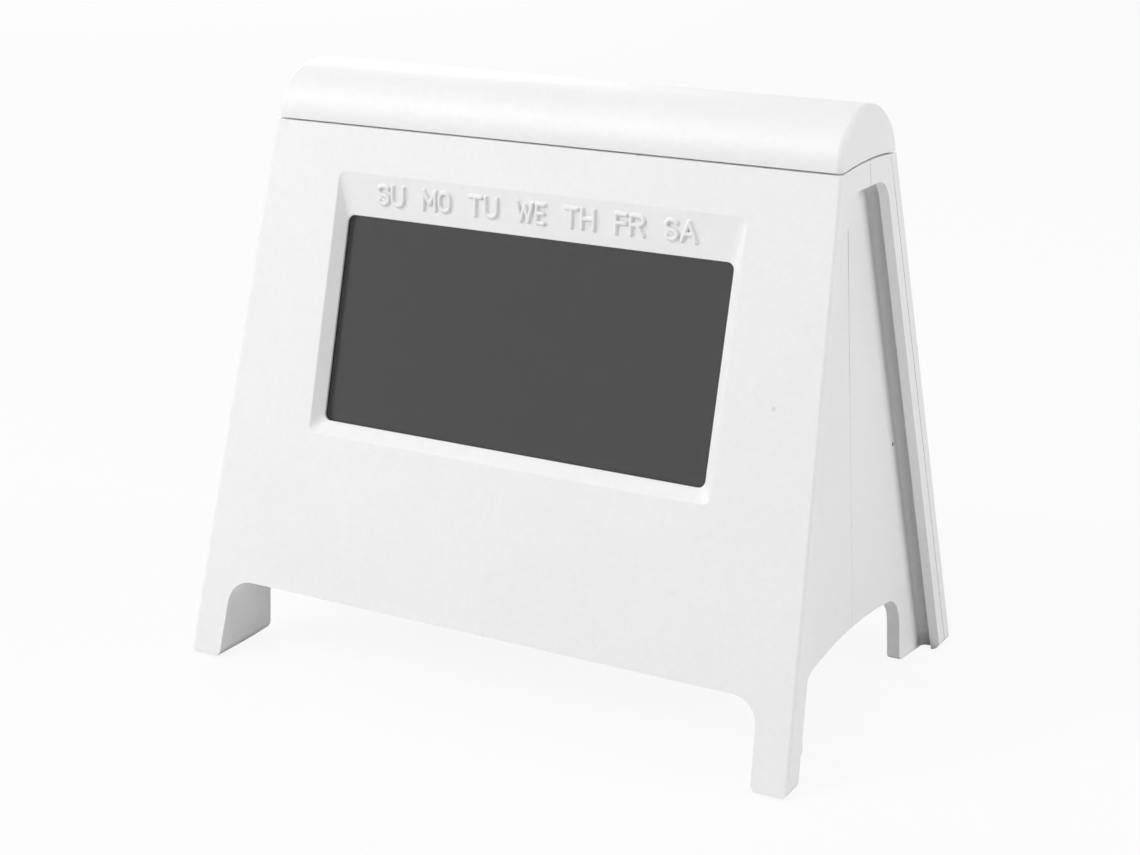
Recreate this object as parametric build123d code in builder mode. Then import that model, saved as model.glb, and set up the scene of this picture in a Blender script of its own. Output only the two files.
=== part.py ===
from build123d import *
import os
from math import cos, radians, sin, tan

# Digital desk clock: two leaning boards make an A-frame, with a press bar along the top.
# Origin on the floor under the middle of the clock, X across, front face towards -Y, Z up.
# Lengths are in millimetres. Heights on a board run up its slope from the floor line.

# Overall shape
seam_height = 87.65
seam_half_depth = 10.7
floor_half_width = 55.0
board_tilt = radians(15.0)
end_taper = radians(3.1)
corner_round = 0.5
half_turn = 180

# Legs and the gaps between them
leg_height = 13.4
leg_half_gap = 19.9
front_arch_fillet = 4.2
side_arch_fillet = 5.5
side_arch_rise = 0.75
side_arch_fall = 1.25
toe_round = 1.6
toe_lift = 0.6
wall_lift = 0.9
wall_foot_round = 0.9

# Moulded walls of the shells
wall = 2.2
side_inset = 3.7
front_strip = 3.9
rear_strip = 2.6
lip_width = 1.6
front_groove_depth = 1.5
rear_groove_depth = 1.3
groove_cove = 1.15
pocket_drop = 3.2
pocket_corner = 4.2
parting_gap = 0.15

# Back cover
cover_thickness = 2.4
cover_gap = 0.14

# Clearances shared by all pieces
overrun = 1.0
fit = 0.1
slide_gap = 0.2
screw_fit = 0.05

# Display window and the bevelled recess around it, measured on the front board
window_side_margin = 15.55
window_height = 33.8
window_drop = 14.1
window_corner = 1.2
bezel_side = 1.7
bezel_foot = 2.2
bezel_brow = 6.8
bezel_depth = 1.5
bezel_corner = 1.2
bezel_edge_round = 0.35
window_lip = 0.4

# Display pieces behind the window
lens_margin = 1.2
lens_thickness = 1.2
lcd_thickness = 2.4
holder_wall = 1.4
holder_back = 1.5
zebra_end = 4.7
zebra_height = 2.4
zebra_edge = 0.6

# Main board and what it carries
board_thickness = 1.6
board_edge_step = 1.6
board_boss_radius = 2.2
board_boss_gap = 0.3
board_boss_inset = 4.0
board_pilot_depth = 4.0
chip_radius = 6.0
chip_height = 2.0
chip_round = 1.6
chip_u = -14.0
crystal_radius = 1.0
crystal_length = 6.0
crystal_round = 0.3
crystal_u = 14.0
crystal_rise = 6.0

# Screws
screw_shank_radius = 1.1
screw_head_radius = 2.2
screw_head_height = 1.4
screw_head_round = 0.5
screw_slot_width = 0.6
screw_slot_length = 2.6
screw_slot_depth = 0.7
short_screw_length = 5.0
long_screw_length = 10.0

# Bosses that join the two shells, square to the parting plane
shell_boss_radius = 3.0
shell_boss_bury = 1.0
rear_boss_length = 12.0
rear_boss_seat = 3.0
low_shell_screw_rise = 5.0
high_shell_screw_drop = 10.0

# Screws that hold the back cover, square to the rear board
cover_boss_length = 9.0
low_cover_screw_rise = 18.2
high_cover_screw_drop = 19.1
cover_screw_length = 7.5
cover_counterbore_depth = 1.4

# Press bar along the top
crown_height = 8.85
bar_travel = 0.2
bar_stop_gap = 0.1
seam_rise = 0.65
bar_wall = 1.8
bar_end_round = 1.0
bar_post_inset = 16.2
bar_post_radius = 2.5
spring_seat_radius = 4.0
spring_seat_drop = 1.5
spring_outer_radius = 3.6
spring_inner_radius = 2.9
bar_head_radius = 3.6
bar_head_height = 1.4
bar_head_gap = 0.08
bar_screw_length = 6.0
plunger_radius = 1.6

# Switch under the press bar
snooze_board_width = 32.0
snooze_board_depth = 13.0
snooze_board_y = -1.5
snooze_board_drop = 6.2
snooze_boss_x = 12.0
snooze_boss_y = -3.0
snooze_boss_radius = 2.4
switch_width = 6.0
switch_height = 3.5
switch_well_radius = 1.9
switch_well_floor = 0.6
plunger_engagement = 1.2

# Rear push buttons and their board
button_count = 4
button_pitch = 10.0
buzzer_step = 11.5
knob_step = 11.5
key_row_rise = 10.0
button_radius = 3.2
button_proud = 1.0
button_round = 0.5
button_flange_radius = 4.0
button_flange_height = 0.8
button_stem_radius = 1.6
button_travel = 0.8
key_board_rise = 2.5
key_board_height = 15.0
key_room = 0.9
key_boss_radius = 2.3
key_boss_gap = 1.2
key_boss_inset = 2.8

# Alarm slide switch
knob_length = 4.0
knob_height = 2.4
knob_proud = 0.8
knob_round = 0.3
knob_travel = 3.0
knob_flange_length = 6.4
knob_flange_height = 4.0
knob_stem_length = 2.0
knob_stem_height = 1.4
alarm_switch_length = 9.0
alarm_switch_height = 4.6

# Sounder and its holes in the back cover
buzzer_radius = 5.5
buzzer_height = 5.4
buzzer_bore_radius = 1.2
buzzer_bore_depth = 1.5
sound_hole_radius = 0.8
sound_ring_radius = 3.0
sound_ring_count = 6

# Battery tray, cells and contacts, measured on the rear board
cell_radius = 5.25
cell_body_length = 43.3
cell_nub_radius = 1.9
cell_nub_length = 1.2
cell_edge_round = 0.5
cell_side_room = 0.6
spring_room = 4.7
plate_thickness = 0.4
plate_height = 8.6
tray_wall = 1.2
tray_rise = 6.83
tray_flange_side = 6.3
tray_flange_top = 2.6
cell_spring_outer_radius = 3.4
cell_spring_inner_radius = 2.7
stake_radius = 1.1
stake_head_radius = 1.8
stake_head_height = 0.7
stake_edge = 2.1

# Battery door, sliding down the back cover
door_side = 1.0
door_rise = 0.8
door_tongue = 1.4
door_lip = 1.2
grip_length = 16.0
grip_height = 0.9
grip_proud = 0.4
grip_pitch = 2.2
grip_count = 3
grip_drop = 8.0

# Cables and leads
cable_thickness = 0.5
cable_width = 9.0
cable_run = 6.0
cable_bend = 2.0
key_cable_drop = 2.0
key_cable_board_drop = 4.8
snooze_cable_y = 1.5
snooze_cable_drop = 5.7
lead_radius = 0.6
lead_run = 6.0
lead_bend = 2.0
lead_u = 19.0
lead_spread = 5.0
lead_board_rise = 1.6

# Sizes that follow from the ones above
floor_half_depth = seam_half_depth + seam_height * tan(board_tilt)
slope_height = seam_height / cos(board_tilt)
seam_half_width = floor_half_width - seam_height * tan(end_taper)
reach = floor_half_width + floor_half_depth + seam_height
leg_width = side_inset + wall
deck_under = seam_height - wall
floor_top = leg_height + wall
panel_low = leg_height / cos(board_tilt)
pocket_top = seam_height - pocket_drop
front_normal = (0, -cos(board_tilt), sin(board_tilt))
rear_normal = (0, cos(board_tilt), sin(board_tilt))
front_plane = Plane((0, -floor_half_depth, 0), x_dir=(1, 0, 0), z_dir=front_normal)
rear_plane = Plane((0, floor_half_depth, 0), x_dir=(-1, 0, 0), z_dir=rear_normal)

window_width = 2 * (seam_half_width - window_side_margin)
window_top = slope_height - window_drop
window_bottom = window_top - window_height
window_middle = window_bottom + window_height / 2
bezel_width = window_width + 2 * bezel_side
bezel_height = window_height + bezel_foot + bezel_brow
bezel_middle = window_bottom - bezel_foot + bezel_height / 2
lens_width = window_width + 2 * lens_margin
lens_height = window_height + 2 * lens_margin
lens_depth = bezel_depth + window_lip
lcd_depth = lens_depth + lens_thickness
holder_width = lens_width + 2 * (fit + holder_wall)
holder_height = lens_height + 2 * (fit + holder_wall)
main_board_depth = lcd_depth + lcd_thickness + holder_back
main_board_back = main_board_depth + board_thickness
board_boss_u = holder_width / 2 + board_boss_gap + board_boss_radius
main_board_width = 2 * (board_boss_u + board_boss_radius)
main_board_height = holder_height - 2 * board_edge_step
board_boss_spread = main_board_height / 2 - board_boss_inset
board_boss_places = [
    (side * board_boss_u, window_middle + end * board_boss_spread) for side in (-1, 1) for end in (-1, 1)
]
zebra_length = window_width - 2 * zebra_end
zebra_v = window_bottom - lens_margin + zebra_edge + zebra_height / 2

seam_gap = bar_travel + bar_stop_gap
bar_low = seam_height + seam_gap
bar_top = seam_height + crown_height
bar_half_depth = seam_half_depth - seam_gap * tan(board_tilt)
spring_seat_height = bar_top - bar_wall - spring_seat_drop
bar_post_x = seam_half_width - bar_post_inset
bar_posts = [(-bar_post_x, 0), (bar_post_x, 0)]
bar_post_end = deck_under - bar_head_gap
snooze_board_top = deck_under - snooze_board_drop
switch_top = snooze_board_top + switch_height
snooze_bosses = [(-snooze_boss_x, snooze_boss_y), (snooze_boss_x, snooze_boss_y)]

tray_length = cell_body_length + cell_nub_length + spring_room + 2 * plate_thickness
cell_pitch = 2 * cell_radius + cell_side_room
tray_height = 2 * cell_pitch
tray_low = panel_low + tray_rise
tray_middle = tray_low + tray_wall + tray_height / 2
tray_floor_depth = cover_thickness + 2 * cell_radius + cell_side_room
cell_axis_depth = tray_floor_depth - cell_radius - fit
tray_flange_high = tray_low + tray_height + 2 * tray_wall + tray_flange_top
tray_flange_width = tray_length + 2 * tray_flange_side
tray_flange_middle = (tray_low + tray_flange_high) / 2
stake_places = [
    (side * (tray_flange_width / 2 - stake_edge), v)
    for side in (-1, 1)
    for v in (tray_low + stake_edge, tray_flange_high - stake_edge)
]
door_width = tray_length + 2 * door_side
door_top = tray_low + tray_height + 2 * tray_wall + door_rise

switch_well_depth = plunger_engagement + button_travel + switch_well_floor
switch_face_depth = cover_thickness + fit + button_flange_height + button_travel + key_room
key_board_depth = switch_face_depth + switch_height
key_row_v = door_top + key_row_rise
key_row_half = (buzzer_step + (button_count - 1) * button_pitch + knob_step) / 2
buzzer_u = -key_row_half
knob_u = key_row_half
key_places = [(buzzer_u + buzzer_step + step * button_pitch, key_row_v) for step in range(button_count)]
key_board_low = door_top + key_board_rise
key_board_high = key_board_low + key_board_height
key_boss_u = key_row_half + buzzer_radius + key_boss_gap
key_board_width = 2 * (key_boss_u + key_boss_inset)
key_boss_places = [
    (side * key_boss_u, v)
    for side in (-1, 1)
    for v in (key_board_low + key_boss_inset, key_board_high - key_boss_inset)
]


def end_half_width(height):
    """Half the width between the tapering ends at a height."""
    return floor_half_width - height * tan(end_taper)


def face_half_depth(height, inset):
    """Half the depth at a height, with the board's face moved in square to itself."""
    return seam_half_depth + (seam_height - height) * tan(board_tilt) - inset / cos(board_tilt)


def front_trapezoid(inset, low, high):
    """Corners of the tapering front view between two heights, with its ends moved in."""
    low_x = end_half_width(low) - inset
    high_x = end_half_width(high) - inset
    return [(-low_x, low), (low_x, low), (high_x, high), (-high_x, high)]


def side_trapezoid(front_inset, rear_inset, low, high):
    """Corners of the leaning side view between two heights, with its faces moved in."""
    return [
        (-face_half_depth(low, front_inset), low),
        (face_half_depth(low, rear_inset), low),
        (face_half_depth(high, rear_inset), high),
        (-face_half_depth(high, front_inset), high),
    ]


def a_frame(end_inset, front_inset, rear_inset, low, high):
    """Solid between the leaning faces and the tapering ends, each moved in by its inset."""
    with BuildPart() as block:
        with BuildSketch(Plane.XZ):
            Polygon(*front_trapezoid(end_inset, low, high), align=None)
        extrude(amount=reach, both=True)
        with BuildSketch(Plane.YZ):
            Polygon(*side_trapezoid(front_inset, rear_inset, low, high), align=None)
        extrude(amount=reach, both=True, mode=Mode.INTERSECT)
    return block.part


def end_pockets(front_inset, rear_inset, outer_inset):
    """Both hollows between the boards outside the side walls, open at the floor."""
    with BuildPart() as pockets:
        with BuildSketch(Plane.YZ):
            Polygon(*side_trapezoid(front_inset, rear_inset, -overrun, pocket_top), align=None)
            fillet(vertices().group_by(Axis.Y)[-1], pocket_corner)
        extrude(amount=reach, both=True)
        with BuildSketch(Plane.XZ):
            Polygon(*front_trapezoid(outer_inset, -overrun, seam_height), align=None)
            Polygon(*front_trapezoid(side_inset, -overrun, seam_height), align=None, mode=Mode.SUBTRACT)
        extrude(amount=reach, both=True, mode=Mode.INTERSECT)
    return pockets.part


def on_side_wall(edge):
    """Whether an edge lies on a side wall's face, above the floor."""
    middle = edge @ 0.5
    return middle.Z > 0 and abs(abs(middle.X) - end_half_width(middle.Z) + side_inset) < fit


def foot_steps(strip):
    """Underside of a board's foot in the side view, from outside its face in to the gap between the legs."""
    return [
        (floor_half_depth + overrun, toe_lift),
        (face_half_depth(0, strip / 2), 0),
        (face_half_depth(0, strip), 0),
        (leg_half_gap, wall_lift),
    ]


def pan_screw(head_radius, head_height, length):
    """Cross-head screw along Z, its head above zero and its shank below."""
    with BuildPart() as screw:
        with BuildSketch():
            Circle(head_radius)
        extrude(amount=head_height)
        fillet(edges().group_by(Axis.Z)[-1], screw_head_round)
        with BuildSketch(Plane.XY.offset(head_height)):
            Rectangle(screw_slot_length, screw_slot_width)
            Rectangle(screw_slot_width, screw_slot_length)
        extrude(amount=-screw_slot_depth, mode=Mode.SUBTRACT)
        with BuildSketch():
            Circle(screw_shank_radius)
        extrude(amount=-length)
    return screw.part


def shell_boss_x(height):
    """Middle of a boss that is buried in the side wall at a height."""
    return end_half_width(height) - leg_width - shell_boss_radius + shell_boss_bury


shell_screw_places = [
    (side * shell_boss_x(height), height)
    for side in (-1, 1)
    for height in (floor_top + low_shell_screw_rise, seam_height - high_shell_screw_drop)
]
cover_screw_places = [
    (side * shell_boss_x(v * cos(board_tilt)), v)
    for side in (-1, 1)
    for v in (panel_low + low_cover_screw_rise, slope_height - high_cover_screw_drop)
]

# Body blank: the A-frame on four legs, with side pockets and one cavity, still in one piece
front_view = [
    (-end_half_width(0), 0),
    (leg_width - end_half_width(0), 0),
    (leg_width - end_half_width(leg_height), leg_height),
    (end_half_width(leg_height) - leg_width, leg_height),
    (end_half_width(0) - leg_width, 0),
    (end_half_width(0), 0),
    (end_half_width(bar_top), bar_top),
    (-end_half_width(bar_top), bar_top),
]
side_arch_end = leg_height - side_arch_fall
underside = [
    *reversed(foot_steps(rear_strip + cover_thickness)),
    (floor_half_depth + overrun, -overrun),
    (-floor_half_depth - overrun, -overrun),
    *[(-y, z) for y, z in foot_steps(front_strip)],
]
side_pockets = end_pockets(front_strip, rear_strip + cover_thickness, -overrun)
cavity = a_frame(leg_width, wall, cover_thickness, floor_top, deck_under)

# Grooves beside the lips, each with a cove at the side wall
with BuildPart() as edge_grooves:
    add(end_pockets(front_strip - front_groove_depth, rear_strip + cover_thickness - rear_groove_depth, lip_width))
    fillet(edges().filter_by(on_side_wall), groove_cove)

with BuildPart() as body:
    with BuildSketch(Plane.XZ):
        Polygon(*front_trapezoid(0, 0, bar_top), align=None)
    extrude(amount=reach, both=True)
    split(bisect_by=front_plane, keep=Keep.BOTTOM)
    split(bisect_by=rear_plane, keep=Keep.BOTTOM)
    with BuildSketch(Plane.YZ):
        with BuildLine():
            arch = ThreePointArc(
                (-seam_half_depth, seam_height), (0, seam_height + seam_rise), (seam_half_depth, seam_height)
            )
            corners = [(reach, seam_height), (reach, reach), (-reach, reach), (-reach, seam_height)]
            Polyline(arch @ 1, *corners, arch @ 0)
        make_face()
    extrude(amount=reach, both=True, mode=Mode.SUBTRACT)
    fillet(edges().filter_by(lambda edge: edge.bounding_box().size.Z > seam_height / 2), corner_round)
    with BuildSketch(Plane.XZ):
        Polygon(*front_view, align=None)
        fillet(vertices().group_by(Axis.Y)[1], front_arch_fillet)
        fillet(vertices().group_by(Axis.Y)[0], toe_round)
    extrude(amount=reach, both=True, mode=Mode.INTERSECT)
    with BuildSketch(Plane.YZ):
        with BuildLine():
            side_arch = ThreePointArc(
                (-leg_half_gap, side_arch_end), (0, leg_height + side_arch_rise), (leg_half_gap, side_arch_end)
            )
            Polyline(side_arch @ 1, *underside, side_arch @ 0)
        make_face()
        fillet(vertices().group_by(Axis.Y)[-1], side_arch_fillet)
        fillet(vertices().group_by(Axis.Y)[3], wall_foot_round)
    extrude(amount=reach, both=True, mode=Mode.SUBTRACT)
    add(side_pockets, mode=Mode.SUBTRACT)
    add(edge_grooves.part, mode=Mode.SUBTRACT)
    add(cavity, mode=Mode.SUBTRACT)
    with BuildSketch(Plane.XY.offset(deck_under - overrun)):
        with Locations(*bar_posts):
            Circle(bar_post_radius + slide_gap)
        Circle(plunger_radius + slide_gap)
    extrude(amount=bar_top - deck_under, mode=Mode.SUBTRACT)
    with BuildSketch(Plane.XY.offset(seam_height)):
        with Locations(*bar_posts):
            Circle(spring_outer_radius + slide_gap)
    extrude(amount=crown_height, mode=Mode.SUBTRACT)

# Bosses that meet at the parting plane, cut off inside the moulded walls and at the back cover
boss_room = a_frame(side_inset + wall / 2, wall / 2, cover_thickness, 0, seam_height)

with BuildPart() as front_bosses:
    with BuildSketch(Plane.XZ):
        with Locations(*shell_screw_places):
            Circle(shell_boss_radius)
    extrude(amount=reach)
    add(boss_room, mode=Mode.INTERSECT)

with BuildPart() as rear_bosses:
    with BuildSketch(Plane.XZ):
        with Locations(*shell_screw_places):
            Circle(shell_boss_radius)
    extrude(amount=-rear_boss_length)
    with BuildSketch(rear_plane.offset(-cover_thickness)):
        with Locations(*cover_screw_places):
            Circle(shell_boss_radius)
    extrude(amount=-cover_boss_length)
    add(boss_room, mode=Mode.INTERSECT)

# Front shell
with BuildPart() as front_shell:
    add(body.part)
    split(bisect_by=Plane.XZ.offset(parting_gap / 2), keep=Keep.TOP)
    add(front_bosses.part)
    with BuildSketch(Plane.XZ):
        with Locations(*shell_screw_places):
            Circle(screw_shank_radius + screw_fit)
    extrude(amount=long_screw_length, mode=Mode.SUBTRACT)
    with BuildSketch(front_plane.offset(-wall)):
        with Locations((0, window_middle)):
            Rectangle(holder_width, holder_height)
    extrude(amount=wall - lcd_depth)
    with BuildSketch(front_plane):
        with Locations((0, bezel_middle)):
            RectangleRounded(bezel_width, bezel_height, bezel_corner)
    with BuildSketch(front_plane.offset(-bezel_depth)):
        with Locations((0, window_middle)):
            RectangleRounded(window_width, window_height, window_corner)
    loft(ruled=True, mode=Mode.SUBTRACT)
    board_face = faces().filter_by(lambda face: abs(front_plane.to_local_coords(face.center()).Z) < fit)[0]
    fillet(board_face.inner_wires()[0].edges(), bezel_edge_round)
    with BuildSketch(front_plane):
        with Locations((0, window_middle)):
            RectangleRounded(window_width, window_height, window_corner)
    extrude(amount=-lcd_depth, mode=Mode.SUBTRACT)
    with BuildSketch(front_plane.offset(-lens_depth)):
        with Locations((0, window_middle)):
            Rectangle(lens_width + 2 * fit, lens_height + 2 * fit)
    extrude(amount=-lens_thickness, mode=Mode.SUBTRACT)
    with BuildSketch(front_plane.offset(-wall)):
        with Locations(*board_boss_places):
            Circle(board_boss_radius)
    extrude(amount=wall - main_board_depth)
    with BuildSketch(front_plane.offset(-main_board_depth)):
        with Locations(*board_boss_places):
            Circle(screw_shank_radius + screw_fit)
    extrude(amount=board_pilot_depth, mode=Mode.SUBTRACT)
    with BuildSketch(Plane.XY.offset(deck_under)):
        with Locations(*snooze_bosses):
            Circle(snooze_boss_radius)
    extrude(amount=snooze_board_top - deck_under)
    with BuildSketch(Plane.XY.offset(snooze_board_top)):
        with Locations(*snooze_bosses):
            Circle(screw_shank_radius + screw_fit)
    extrude(amount=short_screw_length, mode=Mode.SUBTRACT)

# Rear shell, open at the back
with BuildPart() as rear_shell:
    add(body.part)
    split(bisect_by=Plane.XZ.offset(-parting_gap / 2), keep=Keep.BOTTOM)
    split(bisect_by=rear_plane.offset(-cover_thickness - cover_gap), keep=Keep.BOTTOM)
    add(rear_bosses.part)
    with BuildSketch(Plane.XZ):
        with Locations(*shell_screw_places):
            Circle(screw_shank_radius + slide_gap)
    extrude(amount=-rear_boss_length - overrun, mode=Mode.SUBTRACT)
    with BuildSketch(Plane.XZ.offset(-rear_boss_seat)):
        with Locations(*shell_screw_places):
            Circle(screw_head_radius + slide_gap)
    extrude(amount=-rear_boss_length, mode=Mode.SUBTRACT)
    with BuildSketch(rear_plane.offset(-cover_thickness)):
        with Locations(*cover_screw_places):
            Circle(screw_shank_radius + screw_fit)
    extrude(amount=-cover_screw_length, mode=Mode.SUBTRACT)

# Back cover: the rear board's outer plate, with its openings, key bosses and tray stakes
door_open_width = door_width + 2 * slide_gap
door_open_height = door_top + slide_gap - panel_low + overrun
door_open_middle = panel_low - overrun + door_open_height / 2
groove_open_width = door_open_width + 2 * door_tongue
groove_open_height = door_open_height + door_tongue
groove_open_middle = panel_low - overrun + groove_open_height / 2

with BuildPart() as back_cover:
    add(body.part)
    split(bisect_by=rear_plane.offset(-cover_thickness), keep=Keep.TOP)
    with BuildSketch(rear_plane):
        with Locations((0, door_open_middle)):
            Rectangle(door_open_width, door_open_height)
        with Locations(*key_places):
            Circle(button_radius + slide_gap)
        with Locations((knob_u, key_row_v)):
            Rectangle(knob_length + knob_travel + 2 * slide_gap, knob_height + 2 * slide_gap)
        with Locations((buzzer_u, key_row_v)):
            Circle(sound_hole_radius)
            with PolarLocations(sound_ring_radius, sound_ring_count):
                Circle(sound_hole_radius)
        with Locations(*cover_screw_places):
            Circle(screw_shank_radius + slide_gap)
    extrude(amount=-cover_thickness, mode=Mode.SUBTRACT)
    with BuildSketch(rear_plane.offset(-door_lip)):
        with Locations((0, groove_open_middle)):
            Rectangle(groove_open_width, groove_open_height)
    extrude(amount=door_lip - cover_thickness, mode=Mode.SUBTRACT)
    with BuildSketch(rear_plane):
        with Locations(*cover_screw_places):
            Circle(screw_head_radius + slide_gap)
    extrude(amount=-cover_counterbore_depth, mode=Mode.SUBTRACT)
    with BuildSketch(rear_plane.offset(-cover_thickness)):
        with Locations(*key_boss_places):
            Circle(key_boss_radius)
    extrude(amount=cover_thickness - key_board_depth)
    with BuildSketch(rear_plane.offset(-key_board_depth)):
        with Locations(*key_boss_places):
            Circle(screw_shank_radius + screw_fit)
    extrude(amount=short_screw_length, mode=Mode.SUBTRACT)
    with BuildSketch(rear_plane.offset(-cover_thickness)):
        with Locations(*stake_places):
            Circle(stake_radius)
    extrude(amount=-tray_wall)
    with BuildSketch(rear_plane.offset(-cover_thickness - tray_wall)):
        with Locations(*stake_places):
            Circle(stake_head_radius)
    extrude(amount=-stake_head_height)

# Press bar: a hollow crown with two guide posts and the switch plunger
with BuildPart() as snooze_bar:
    with BuildSketch(Plane.YZ):
        with BuildLine():
            crown = EllipticalCenterArc(
                (0, bar_low), bar_half_depth, bar_top - bar_low, 0, arc_size=half_turn
            )
            ThreePointArc(crown @ 1, (0, bar_low + seam_rise), crown @ 0)
        make_face()
    extrude(amount=reach, both=True)
    with BuildSketch(Plane.XZ):
        Polygon(*front_trapezoid(0, seam_height, bar_top + overrun), align=None)
    extrude(amount=reach, both=True, mode=Mode.INTERSECT)
    end_edges = edges().filter_by(GeomType.LINE, reverse=True)
    fillet(end_edges.filter_by(lambda edge: edge.bounding_box().max.Z > bar_top - bar_wall), bar_end_round)
    with BuildSketch(Plane.YZ):
        with BuildLine():
            hollow = EllipticalCenterArc(
                (0, bar_low), bar_half_depth - bar_wall, bar_top - bar_low - bar_wall, 0, arc_size=half_turn
            )
            Line(hollow @ 1, hollow @ 0)
        make_face()
    extrude(amount=end_half_width(bar_top) - bar_wall, both=True, mode=Mode.SUBTRACT)
    with BuildSketch(Plane.XY.offset(spring_seat_height)):
        with Locations(*bar_posts):
            Circle(spring_seat_radius)
    extrude(amount=bar_top - bar_wall / 2 - spring_seat_height)
    with BuildSketch(Plane.XY.offset(bar_post_end)):
        with Locations(*bar_posts):
            Circle(bar_post_radius)
    extrude(amount=bar_top - bar_wall / 2 - bar_post_end)
    with BuildSketch(Plane.XY.offset(switch_top - plunger_engagement)):
        Circle(plunger_radius)
    extrude(amount=bar_top - bar_wall / 2 - switch_top + plunger_engagement)
    with BuildSketch(Plane.XY.offset(bar_post_end)):
        with Locations(*bar_posts):
            Circle(screw_shank_radius + screw_fit)
    extrude(amount=bar_screw_length, mode=Mode.SUBTRACT)

with BuildPart() as bar_springs:
    with BuildSketch(Plane.XY.offset(seam_height)):
        with Locations(*bar_posts):
            Circle(spring_outer_radius)
            Circle(spring_inner_radius, mode=Mode.SUBTRACT)
    extrude(amount=spring_seat_height - seam_height)

# Display stack
with BuildPart() as display_lens:
    with BuildSketch(front_plane.offset(-lens_depth)):
        with Locations((0, window_middle)):
            Rectangle(lens_width, lens_height)
    extrude(amount=-lens_thickness)

with BuildPart() as lcd_panel:
    with BuildSketch(front_plane.offset(-lcd_depth)):
        with Locations((0, window_middle)):
            Rectangle(lens_width, lens_height)
    extrude(amount=-lcd_thickness)

with BuildPart() as lcd_holder:
    with BuildSketch(front_plane.offset(-lcd_depth)):
        with Locations((0, window_middle)):
            Rectangle(holder_width, holder_height)
    extrude(amount=lcd_depth - main_board_depth)
    with BuildSketch(front_plane.offset(-lcd_depth)):
        with Locations((0, window_middle)):
            Rectangle(lens_width + 2 * fit, lens_height + 2 * fit)
    extrude(amount=-lcd_thickness, mode=Mode.SUBTRACT)
    with BuildSketch(front_plane.offset(-main_board_depth)):
        with Locations((0, zebra_v)):
            Rectangle(zebra_length + 2 * fit, zebra_height + 2 * fit)
    extrude(amount=holder_back, mode=Mode.SUBTRACT)

with BuildPart() as zebra_strip:
    with BuildSketch(front_plane.offset(-main_board_depth)):
        with Locations((0, zebra_v)):
            Rectangle(zebra_length, zebra_height)
    extrude(amount=holder_back)

with BuildPart() as main_board:
    with BuildSketch(front_plane.offset(-main_board_depth)):
        with Locations((0, window_middle)):
            Rectangle(main_board_width, main_board_height)
        with Locations(*board_boss_places):
            Circle(screw_shank_radius + slide_gap, mode=Mode.SUBTRACT)
    extrude(amount=-board_thickness)

with BuildPart() as clock_chip:
    with BuildSketch(front_plane.offset(-main_board_back)):
        with Locations((chip_u, window_middle)):
            Circle(chip_radius)
    extrude(amount=-chip_height)
    fillet(faces().filter_by(GeomType.PLANE).sort_by(Axis.Y)[-1].edges(), chip_round)

crystal_v = window_middle + crystal_rise
with BuildPart() as quartz_crystal:
    crystal_axis = front_plane.from_local_coords((crystal_u, crystal_v, -main_board_back - crystal_radius))
    with BuildSketch(Plane(crystal_axis, x_dir=(0, 1, 0), z_dir=(1, 0, 0))):
        Circle(crystal_radius)
    extrude(amount=crystal_length / 2, both=True)
    fillet(edges().filter_by(GeomType.CIRCLE), crystal_round)

# Switch under the press bar
with BuildPart() as snooze_board:
    with BuildSketch(Plane.XY.offset(snooze_board_top)):
        with Locations((0, snooze_board_y)):
            Rectangle(snooze_board_width, snooze_board_depth)
        with Locations(*snooze_bosses):
            Circle(screw_shank_radius + slide_gap, mode=Mode.SUBTRACT)
    extrude(amount=-board_thickness)

with BuildPart() as snooze_switch:
    with BuildSketch(Plane.XY.offset(snooze_board_top)):
        Rectangle(switch_width, switch_width)
    extrude(amount=switch_height)
    with BuildSketch(Plane.XY.offset(switch_top)):
        Circle(switch_well_radius)
    extrude(amount=-switch_well_depth, mode=Mode.SUBTRACT)

# Rear buttons with their board and switches
with BuildPart() as key_board:
    with BuildSketch(rear_plane.offset(-key_board_depth)):
        with Locations((0, (key_board_low + key_board_high) / 2)):
            Rectangle(key_board_width, key_board_high - key_board_low)
        with Locations(*key_boss_places):
            Circle(screw_shank_radius + slide_gap, mode=Mode.SUBTRACT)
    extrude(amount=-board_thickness)

with BuildPart() as key_switches:
    with BuildSketch(rear_plane.offset(-key_board_depth)):
        with Locations(*key_places):
            Rectangle(switch_width, switch_width)
    extrude(amount=switch_height)
    with BuildSketch(rear_plane.offset(-switch_face_depth)):
        with Locations(*key_places):
            Circle(switch_well_radius)
    extrude(amount=-switch_well_depth, mode=Mode.SUBTRACT)


def push_button(place):
    """Round cap, retaining flange and stem of one rear button."""
    with BuildPart() as button:
        with BuildSketch(rear_plane.offset(button_proud)):
            with Locations(place):
                Circle(button_radius)
        extrude(amount=-button_proud - cover_thickness - fit)
        fillet(edges().filter_by(GeomType.CIRCLE).sort_by(Axis.Y)[-1], button_round)
        with BuildSketch(rear_plane.offset(-cover_thickness - fit)):
            with Locations(place):
                Circle(button_flange_radius)
        extrude(amount=-button_flange_height)
        with BuildSketch(rear_plane.offset(-cover_thickness - fit)):
            with Locations(place):
                Circle(button_stem_radius)
        extrude(amount=cover_thickness + fit - switch_face_depth - plunger_engagement)
    return button


mode_button, set_button, up_button, down_button = [push_button(place) for place in key_places]

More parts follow.
